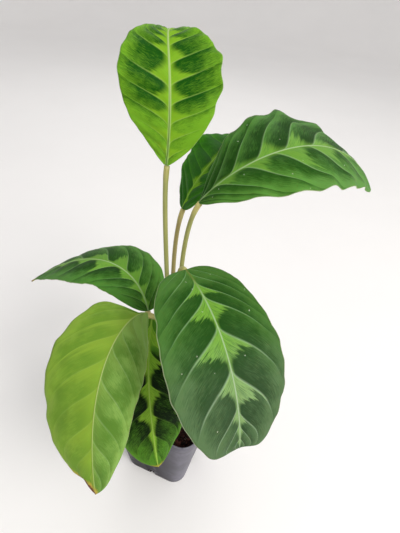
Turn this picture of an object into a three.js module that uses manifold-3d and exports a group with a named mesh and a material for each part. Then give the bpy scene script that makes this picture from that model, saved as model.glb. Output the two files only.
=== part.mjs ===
// Potted calathea: seven broad leaves on slender stalks, growing from one crown of soil
// in a square nursery pot.
//
// Millimetres and degrees, +Z up. The origin is the centre of the pot's underside and the
// pot's sides lie along X and Y.
//
// A leaf is a blade and a stalk. A blade is drawn forward from its stalk along the midrib:
// "heading" is the midrib's direction in plan (0 is +X, 90 is +Y), "rise" is its slope, and
// both are given at the base, the middle and the tip. "Left" and "right" are those of
// someone walking along the midrib on the upper face.
import * as THREE from 'three';
import { mergeVertices } from 'three/addons/utils/BufferGeometryUtils.js';
import Module from 'manifold-3d';

const wasm = await Module();
wasm.setup();

// ---------------------------------------------------------------------------------------
// Driving dimensions
// ---------------------------------------------------------------------------------------

const GAP = 0.3; // clearance between pieces that touch

const POT = {
  height: 96,
  topWidth: 90,
  baseWidth: 66,
  topCorner: 15,
  baseCorner: 14,
  wall: 1.6,
  floor: 2.4,
  bandHeight: 10, // stiffening band under the rim
  bandStep: 0.9, // how far the band stands out from the wall below it
  edge: 0.7, // bevel of the rim and of the bottom edge
  slotWidth: 6, // drain slot at the foot of each side
  slotHeight: 6,
  slotReach: 5, // how far each slot runs in under the soil
  holeRadius: 3.5, // drain holes in the floor
  holeInset: 16, // from the middle of the floor to each hole, along X and along Y
};

const SOIL = {
  level: 86, // where the soil meets the wall
  mound: 2, // rise towards the crown
  lump: 0.7, // height of the clods
  holeDepth: 12,
  holeClearance: 0.45, // around each stalk's foot
};

const CROWN = { x: 0.5, y: 1.5, radius: 8 }; // where the stalks come out of the soil

const STALK = {
  sides: 8,
  steps: 22,
  footRadius: 2.4, // sheathing foot
  sheathLength: 55,
  shaftRadius: 1.7,
  jointRadius: 1.95, // swollen joint that turns the blade
  jointLength: 13,
  neck: 6, // straight run above the soil
};

const BLADE = {
  rows: 22,
  columns: [0, 0.07, 0.26, 0.46, 0.66, 0.84, 1], // from midrib to margin
  thickness: 0.8,
  ribDepth: [2.2, 0.9], // thickness at the midrib, at the base and at the tip
  ribHalfWidth: 1.8,
  baseHalfWidth: 1.5, // where the blade leaves its stalk
  tipHalfWidth: 0.3,
};

// Leaves from the youngest, in the middle of the crown, outwards.
// widest: where the blade is widest, as a share of its length
// shoulder, point: fullness of the outline on the stalk side and on the tip side
// fold, curl: how far each half [left, right] is lifted, and how far it bends out to its margin
// foldGain: fold gained by the tip; lobe: how far the shoulders reach back past the stalk
// wave: ripple of each margin [left, right], its count along the blade and its phase
// foot: place of the stalk on the crown, as an angle in plan; null is the middle
// lift, reach: how far the stalk runs on upwards, and how far back it keeps the blade's course
const LEAVES = [
  {
    name: 'top',
    colour: 0x77a534,
    base: [-12.5, 10, 324],
    length: 103,
    halfWidth: [30, 31.5],
    widest: 0.55,
    shoulder: 1.1,
    point: 1,
    heading: [90, 123, 101],
    rise: [73, 65, -27],
    roll: [6, -2],
    fold: [2, 5],
    foldGain: 7,
    curl: [-4, -5],
    lobe: 0,
    wave: { height: [1.4, 1.2], count: 3.15, phase: [0.19, 0.36] },
    stalk: { foot: null, lift: 95, reach: 29 },
  },
  {
    name: 'right',
    colour: 0x3f6b35,
    base: [12, 11.5, 303],
    length: 155,
    halfWidth: [44, 35],
    widest: 0.53,
    shoulder: 1.15,
    point: 1.5,
    heading: [13, 43, 29],
    rise: [57, 4, -57],
    roll: [-13, -7],
    fold: [6, 2],
    foldGain: -7,
    curl: [-7, -29],
    lobe: 0,
    wave: { height: [1.2, 1.4], count: 6.4, phase: [0.71, 0.69] },
    stalk: { foot: 5, lift: 51, reach: 34 },
  },
  {
    name: 'back',
    colour: 0x3a6630,
    base: [-7, 27, 285.5],
    length: 104,
    halfWidth: [33.5, 34],
    widest: 0.5,
    shoulder: 1.85,
    point: 1.7,
    heading: [68, 72, 114],
    rise: [62, 23, -30],
    roll: [20, -3],
    fold: [-2, 10],
    foldGain: 1,
    curl: [-9, -10],
    lobe: 0.5,
    wave: { height: [1.4, 1.2], count: 2.4, phase: [0.55, 0] },
    stalk: { foot: 72, lift: 40, reach: 37 },
  },
  {
    name: 'left',
    colour: 0x3f6b35,
    base: [-20, -2, 200],
    length: 144,
    halfWidth: [30.5, 38.5],
    widest: 0.51,
    shoulder: 1.5,
    point: 1,
    heading: [139, 184, 210],
    rise: [54, -12, -37],
    roll: [8, -20],
    fold: [7, 5],
    foldGain: -6,
    curl: [-28, -20],
    lobe: 0.5,
    wave: { height: [1.4, 0.6], count: 1.5, phase: [0.94, 0.74] },
    stalk: { foot: 155, lift: 60, reach: 6 },
  },
  {
    name: 'front_right',
    colour: 0x3d6f45,
    base: [16.5, -15, 265],
    length: 130,
    halfWidth: [35.5, 42.5],
    widest: 0.51,
    shoulder: 2.2,
    point: 1.8,
    heading: [-35, -44, -49],
    rise: [-6, -36, -82],
    roll: [1, 5],
    fold: [14, 17],
    foldGain: -2,
    curl: [-18, -15],
    lobe: 2,
    wave: { height: [1, 1.1], count: 2, phase: [0.1, 0.6] },
    stalk: { foot: 319, lift: 95, reach: 18 },
  },
  {
    name: 'front_left',
    colour: 0x6f9a3a,
    base: [-12, -18, 215],
    length: 150,
    halfWidth: [29.5, 41],
    widest: 0.47,
    shoulder: 1.55,
    point: 1.75,
    heading: [-99, -76, -43],
    rise: [42, -32, -75],
    roll: [19, -31],
    fold: [2, 2],
    foldGain: -4,
    curl: [-54, -29],
    lobe: 0,
    wave: { height: [1.2, 1.2], count: 3, phase: [0.4, 0.8] },
    stalk: { foot: 217, lift: 70, reach: 16 },
  },
  {
    name: 'front_centre',
    colour: 0x35602c,
    base: [-8.5, -18.5, 197],
    length: 115,
    halfWidth: [33, 32.5],
    widest: 0.48,
    shoulder: 2,
    point: 1.65,
    heading: [-72, -53, -40],
    rise: [-45, -59, -67],
    roll: [-2, -2],
    fold: [5, 3],
    foldGain: -13,
    curl: [-24, -26],
    lobe: 1,
    wave: { height: [1.2, 1.4], count: 5, phase: [0.2, 0.65] },
    stalk: { foot: 275, lift: 60, reach: 9 },
  },
];

const STALK_COLOUR = 0x8f8a4c;
const POT_COLOUR = 0x37373b;
const SOIL_COLOUR = 0x2a1d16;

// ---------------------------------------------------------------------------------------
// Helpers
// ---------------------------------------------------------------------------------------

const radians = THREE.MathUtils.degToRad;
const mix = THREE.MathUtils.lerp;
const up = new THREE.Vector3(0, 0, 1);

/** Value at u of the smooth curve that is `base` at 0, `middle` at 0.5 and `tip` at 1. */
function bend([base, middle, tip], u) {
  return base * (2 * u - 1) * (u - 1) - middle * 4 * u * (u - 1) + tip * u * (2 * u - 1);
}

/** Unit vector that points along a heading and a rise, in degrees. */
function direction(heading, rise) {
  return new THREE.Vector3(1, 0, 0)
    .applyAxisAngle(new THREE.Vector3(0, 1, 0), -radians(rise))
    .applyAxisAngle(up, radians(heading));
}

/** Geometry from points and triangles. */
function meshOf(points, triangles) {
  const geometry = new THREE.BufferGeometry();
  geometry.setAttribute('position', new THREE.Float32BufferAttribute(points.flatMap((p) => p.toArray()), 3));
  geometry.setIndex(triangles.flat());
  geometry.computeVertexNormals();
  return geometry;
}

/**
 * Closed solid through a stack of rings of equal count, each counter-clockwise about the
 * direction of travel, with the first and the last ring capped.
 */
function loft(rings) {
  const count = rings[0].length;
  const middle = (ring) => ring.reduce((sum, p) => sum.add(p), new THREE.Vector3()).divideScalar(count);
  const points = [...rings.flat(), middle(rings[0]), middle(rings.at(-1))];
  const startCap = rings.length * count;
  const endCap = startCap + 1;
  const triangles = [];
  for (let j = 0; j < count; j += 1) {
    const next = (j + 1) % count;
    for (let i = 0; i < rings.length - 1; i += 1) {
      const [a, b] = [i * count + j, i * count + next];
      triangles.push([a, b, b + count], [a, b + count, a + count]);
    }
    const last = (rings.length - 1) * count;
    triangles.push([startCap, next, j], [endCap, last + j, last + next]);
  }
  return meshOf(points, triangles);
}

/** Ring of a square with rounded corners, counter-clockwise seen from above. */
function squareRing(halfWidth, corner, z) {
  const cornerSteps = 5;
  const ring = [];
  for (let quarter = 0; quarter < 4; quarter += 1) {
    for (let step = 0; step <= cornerSteps; step += 1) {
      const angle = (quarter + step / cornerSteps) * (Math.PI / 2);
      const middleAngle = (quarter + 0.5) * (Math.PI / 2);
      const reach = (halfWidth - corner) * Math.SQRT2;
      ring.push(
        new THREE.Vector3(
          reach * Math.cos(middleAngle) + corner * Math.cos(angle),
          reach * Math.sin(middleAngle) + corner * Math.sin(angle),
          z,
        ),
      );
    }
  }
  return ring;
}

/** Solid of the joining and cutting library, from a closed geometry. */
function solid(geometry) {
  const bare = geometry.clone();
  bare.deleteAttribute('normal');
  bare.deleteAttribute('uv');
  const merged = mergeVertices(bare);
  return new wasm.Manifold(
    new wasm.Mesh({
      numProp: 3,
      vertProperties: new Float32Array(merged.attributes.position.array),
      triVerts: new Uint32Array(merged.index.array),
    }),
  );
}

/** Geometry with the cutters taken out of it. */
function cut(geometry, cutters) {
  const rest = cutters.reduce((body, cutter) => body.subtract(solid(cutter)), solid(geometry));
  const { vertProperties, triVerts } = rest.getMesh();
  const result = new THREE.BufferGeometry();
  result.setAttribute('position', new THREE.Float32BufferAttribute(vertProperties, 3));
  result.setIndex(new THREE.Uint32BufferAttribute(triVerts, 1));
  result.computeVertexNormals();
  return result;
}

/** Upright cylinder that stands on z = bottom. */
function post(radius, height, sides, x, y, bottom) {
  return new THREE.CylinderGeometry(radius, radius, height, sides)
    .rotateX(Math.PI / 2)
    .translate(x, y, bottom + height / 2);
}

// ---------------------------------------------------------------------------------------
// Pot
// ---------------------------------------------------------------------------------------

/** Ring of the pot's outer wall at height z, moved outwards by `offset`. */
function potRing(z, offset) {
  const share = z / POT.height;
  const halfWidth = mix(POT.baseWidth, POT.topWidth, share) / 2;
  const corner = mix(POT.baseCorner, POT.topCorner, share);
  return squareRing(halfWidth + offset, corner + offset, z);
}

function potGeometry() {
  const band = POT.height - POT.bandHeight;
  const { edge, wall, bandStep, height, floor } = POT;
  const shell = loft([
    potRing(0, -bandStep - edge),
    potRing(edge, -bandStep),
    potRing(band - bandStep, -bandStep),
    potRing(band, 0),
    potRing(height - edge, 0),
    potRing(height, -edge),
    potRing(height, edge - wall),
    potRing(height - edge, -wall),
    potRing(band, -wall),
    potRing(band - bandStep, -bandStep - wall),
    potRing(floor, -bandStep - wall),
  ]);

  const cutters = [];
  for (const x of [-POT.holeInset, POT.holeInset]) {
    for (const y of [-POT.holeInset, POT.holeInset]) {
      cutters.push(post(POT.holeRadius, 2 * floor, 12, x, y, -floor / 2));
    }
  }
  for (let side = 0; side < 4; side += 1) {
    const slot = new THREE.BoxGeometry(2 * POT.slotReach, POT.slotWidth, 2 * POT.slotHeight);
    slot.translate(POT.baseWidth / 2, 0, 0);
    cutters.push(slot.rotateZ((side * Math.PI) / 2));
  }
  return cut(shell, cutters);
}

// ---------------------------------------------------------------------------------------
// Soil
// ---------------------------------------------------------------------------------------

/** Height of the soil's surface: a low mound with clods. */
function soilHeight(x, y) {
  const mound = Math.max(0, 1 - Math.hypot(x, y) / (POT.topWidth / 2));
  const clods = Math.sin(0.31 * x + 1.3) * Math.cos(0.37 * y - 0.4) + 0.6 * Math.sin(0.23 * (x - y));
  return SOIL.level + SOIL.mound * mound + SOIL.lump * clods;
}

/** Places of the stalks' feet, and of the holes that they stand in. */
function footOf({ foot }) {
  const radius = foot === null ? 0 : CROWN.radius;
  const angle = radians(foot ?? 0);
  return new THREE.Vector2(CROWN.x + radius * Math.cos(angle), CROWN.y + radius * Math.sin(angle));
}

function soilGeometry() {
  const inside = -POT.bandStep - POT.wall - GAP;
  const walls = [POT.floor + GAP, SOIL.level / 2, SOIL.level - 2].map((z) => potRing(z, inside));
  const rim = potRing(SOIL.level - 2, inside);
  const surface = [0.99, 0.84, 0.67, 0.5, 0.34, 0.17].map((share) =>
    rim.map(({ x, y }) => new THREE.Vector3(share * x, share * y, soilHeight(share * x, share * y))),
  );
  const bottom = SOIL.level - SOIL.holeDepth;
  const holes = LEAVES.map(({ stalk }) => {
    const { x, y } = footOf(stalk);
    return post(STALK.footRadius + SOIL.holeClearance, 2 * SOIL.holeDepth, 10, x, y, bottom);
  });
  return cut(loft([...walls, ...surface]), holes);
}

// ---------------------------------------------------------------------------------------
// Leaf blades
// ---------------------------------------------------------------------------------------

/** Half width of the outline at u, as a share of the greatest half width. */
function outline({ widest, shoulder, point }, u) {
  if (u < widest) {
    return (1 - (1 - u / widest) ** 2) ** (1 / shoulder);
  }
  return (1 - ((u - widest) / (1 - widest)) ** 2) ** (1 / point);
}

/** Stations along the midrib: place, forward, right and normal directions, and outline. */
function stations(leaf) {
  const place = new THREE.Vector3(...leaf.base);
  const list = [];
  let previous = 0;
  for (let i = 0; i <= BLADE.rows; i += 1) {
    const u = (1 - Math.cos((Math.PI * i) / BLADE.rows)) / 2; // closer together at both ends
    const halfway = (u + previous) / 2;
    const step = direction(bend(leaf.heading, halfway), bend(leaf.rise, halfway));
    place.addScaledVector(step, leaf.length * (u - previous));
    previous = u;

    const heading = bend(leaf.heading, u);
    const forward = direction(heading, bend(leaf.rise, u));
    const roll = -radians(mix(leaf.roll[0], leaf.roll[1], u));
    const right = direction(heading - 90, 0).applyAxisAngle(forward, roll);
    const normal = new THREE.Vector3().crossVectors(right, forward);
    list.push({ u, place: place.clone(), forward, right, normal, width: outline(leaf, u) });
  }
  return list;
}

/** Upper and lower point of a blade at a station, at a share v of one half (side -1 or 1). */
function bladePoints(leaf, station, v, side) {
  const { u, place, forward, right, normal, width } = station;
  const half = side < 0 ? 0 : 1;
  const fold = radians(leaf.fold[half] + leaf.foldGain * u * u);
  const curl = radians(leaf.curl[half]);
  const reach = leaf.halfWidth[half] * width + mix(BLADE.baseHalfWidth, BLADE.tipHalfWidth, u);
  const across = (reach * (Math.sin(fold + curl * v) - Math.sin(fold))) / curl;
  const lifted = (reach * (Math.cos(fold) - Math.cos(fold + curl * v))) / curl;
  const { height, count, phase } = leaf.wave;
  const ripple = height[half] * v * v * Math.sqrt(width) * Math.sin(2 * Math.PI * (count * u + phase[half]));
  const back = leaf.lobe * v * v * (1 - u) ** 3 * width;
  const upper = place
    .clone()
    .addScaledVector(right, side * across)
    .addScaledVector(normal, lifted + ripple)
    .addScaledVector(forward, -back);

  const slope = v === 0 ? 0 : fold + curl * v;
  const facing = normal.clone().multiplyScalar(Math.cos(slope)).addScaledVector(right, -side * Math.sin(slope));
  const rib = Math.max(0, 1 - (v * reach) / BLADE.ribHalfWidth) ** 2;
  const ribDepth = mix(BLADE.ribDepth[0], BLADE.ribDepth[1], u);
  const lower = upper.clone().addScaledVector(facing, -mix(BLADE.thickness, ribDepth, rib));
  return { upper, lower };
}

/** Closed blade: upper and lower faces split alike, with margins and ends between them. */
function bladeGeometry(leaf) {
  const shares = BLADE.columns;
  const columns = [...shares.slice(1).map((v) => [v, -1]).reverse(), ...shares.map((v) => [v, 1])];
  const grid = stations(leaf).map((station) => columns.map(([v, side]) => bladePoints(leaf, station, v, side)));
  const points = [...grid.flat().map((p) => p.upper), ...grid.flat().map((p) => p.lower)];
  const under = points.length / 2;
  const across = columns.length;
  const triangles = [];
  const wall = (a, b) => triangles.push([a, a + under, b + under], [a, b + under, b]);
  for (let i = 0; i < grid.length - 1; i += 1) {
    const row = i * across;
    for (let a = row; a < row + across - 1; a += 1) {
      const [b, c, d] = [a + 1, a + 1 + across, a + across];
      triangles.push([a, b, c], [a, c, d]);
      triangles.push([a + under, c + under, b + under], [a + under, d + under, c + under]);
    }
    wall(row + across - 1, row + 2 * across - 1);
    wall(row + across, row);
  }
  const tip = (grid.length - 1) * across;
  for (let j = 0; j < across - 1; j += 1) {
    wall(j, j + 1);
    wall(tip + j + 1, tip + j);
  }
  return meshOf(points, triangles);
}

// ---------------------------------------------------------------------------------------
// Leaf stalks
// ---------------------------------------------------------------------------------------

/** Centre line of a stalk: upright out of the soil, then one bend to the blade's base. */
function stalkPath(leaf) {
  const foot = footOf(leaf.stalk);
  const bottom = new THREE.Vector3(foot.x, foot.y, SOIL.level - SOIL.holeDepth + GAP);
  const neck = new THREE.Vector3(foot.x, foot.y, SOIL.level + STALK.neck);
  const [start] = stations(leaf);
  const top = start.place
    .clone()
    .addScaledVector(start.normal, -BLADE.ribDepth[0] / 2)
    .addScaledVector(start.forward, -GAP);
  const path = new THREE.CurvePath();
  path.add(new THREE.LineCurve3(bottom, neck));
  path.add(
    new THREE.CubicBezierCurve3(
      neck,
      neck.clone().addScaledVector(up, leaf.stalk.lift),
      top.clone().addScaledVector(start.forward, -leaf.stalk.reach),
      top,
    ),
  );
  return path;
}

function stalkGeometry(leaf) {
  const path = stalkPath(leaf);
  const length = path.getLength();
  const { tangents, normals, binormals } = path.computeFrenetFrames(STALK.steps, false);
  const rings = tangents.map((_, i) => {
    const along = (length * i) / STALK.steps;
    const centre = path.getPointAt(i / STALK.steps);
    const sheath = Math.max(0, 1 - along / STALK.sheathLength);
    const joint = THREE.MathUtils.smoothstep(along, length - STALK.jointLength, length - STALK.jointLength / 2);
    const radius =
      STALK.shaftRadius +
      sheath * (STALK.footRadius - STALK.shaftRadius) +
      joint * (STALK.jointRadius - STALK.shaftRadius);
    return Array.from({ length: STALK.sides }, (_unused, side) => {
      const angle = (2 * Math.PI * side) / STALK.sides;
      return centre
        .clone()
        .addScaledVector(normals[i], radius * Math.cos(angle))
        .addScaledVector(binormals[i], radius * Math.sin(angle));
    });
  });
  return loft(rings);
}

// ---------------------------------------------------------------------------------------
// Assembly
// ---------------------------------------------------------------------------------------

const plant = new THREE.Group();

function addPiece(name, geometry, color, roughness) {
  const mesh = new THREE.Mesh(geometry, new THREE.MeshStandardMaterial({ color, roughness, metalness: 0 }));
  mesh.name = name;
  plant.add(mesh);
}

addPiece('pot', potGeometry(), POT_COLOUR, 0.45);
addPiece('soil', soilGeometry(), SOIL_COLOUR, 0.95);
for (const leaf of LEAVES) {
  addPiece(`stalk_${leaf.name}`, stalkGeometry(leaf), STALK_COLOUR, 0.5);
  addPiece(`blade_${leaf.name}`, bladeGeometry(leaf), leaf.colour, 0.4);
}

export default plant;
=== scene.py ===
"""Potted calathea: the finished surfaces of the plant, its soil and its nursery pot.

Leaves are drawn as a maker of botanical models would cut them: a midrib with a heading and
a rise, an outline on either side of it, and side veins that leave it at given shares of its
length. Sizes are in millimetres and degrees until a mesh is made, and meshes are in metres.
"""

import math

import bpy
import numpy as np
from mathutils import Matrix, Vector, noise


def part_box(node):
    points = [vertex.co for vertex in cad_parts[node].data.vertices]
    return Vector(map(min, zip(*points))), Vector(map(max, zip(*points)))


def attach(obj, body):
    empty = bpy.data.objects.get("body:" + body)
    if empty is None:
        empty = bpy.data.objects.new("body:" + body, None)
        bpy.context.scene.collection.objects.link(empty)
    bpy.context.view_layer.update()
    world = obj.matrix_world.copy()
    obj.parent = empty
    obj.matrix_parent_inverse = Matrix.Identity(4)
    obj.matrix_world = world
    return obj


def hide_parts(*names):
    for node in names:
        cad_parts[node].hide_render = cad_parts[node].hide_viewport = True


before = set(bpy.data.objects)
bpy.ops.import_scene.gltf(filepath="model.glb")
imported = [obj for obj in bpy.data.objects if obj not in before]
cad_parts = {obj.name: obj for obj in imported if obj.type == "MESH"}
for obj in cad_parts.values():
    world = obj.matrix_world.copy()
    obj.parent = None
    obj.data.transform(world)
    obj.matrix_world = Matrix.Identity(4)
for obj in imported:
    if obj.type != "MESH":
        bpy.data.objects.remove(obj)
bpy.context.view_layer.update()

bl_info = {
    "name": "Potted Calathea",
    "version": (1, 0, 0),
    "blender": (4, 5, 0),
    "location": "3D View > Sidebar > Calathea",
    "description": "Builds a potted calathea around its packed frame",
    "category": "Add Mesh",
}

MM = 0.001


def paint(code):
    """Linear colour with alpha from a six-digit display colour."""
    parts = [int(code[i : i + 2], 16) / 255 for i in (0, 2, 4)]
    return tuple(c / 12.92 if c <= 0.04045 else ((c + 0.055) / 1.055) ** 2.4 for c in parts) + (1.0,)


# ---- The plant

# Where the stalks leave the soil, and their section.
SOIL_LEVEL, SOIL_MOUND, SOIL_LUMP, HOLE_DEPTH = 86.0, 2.0, 0.7, 12.0
CROWN_X, CROWN_Y, CROWN_RADIUS = 0.5, 1.5, 8.0
FOOT_RADIUS, SHEATH_LENGTH, SHAFT_RADIUS = 2.4, 55.0, 1.7
JOINT_RADIUS, JOINT_LENGTH, NECK, HOOK_RUN = 1.95, 13.0, 6.0, 24
RIB_DEPTH = (2.2, 0.9)  # at the base and at the tip
RIB_HALF_WIDTH = 1.8
END_HALF_WIDTH = (1.5, 0.3)  # of the blade, at the base and at the tip
GAP = 0.3
SOLID_ROWS = 22  # stations along a solid blade, from which its stalk's end is worked out

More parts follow.
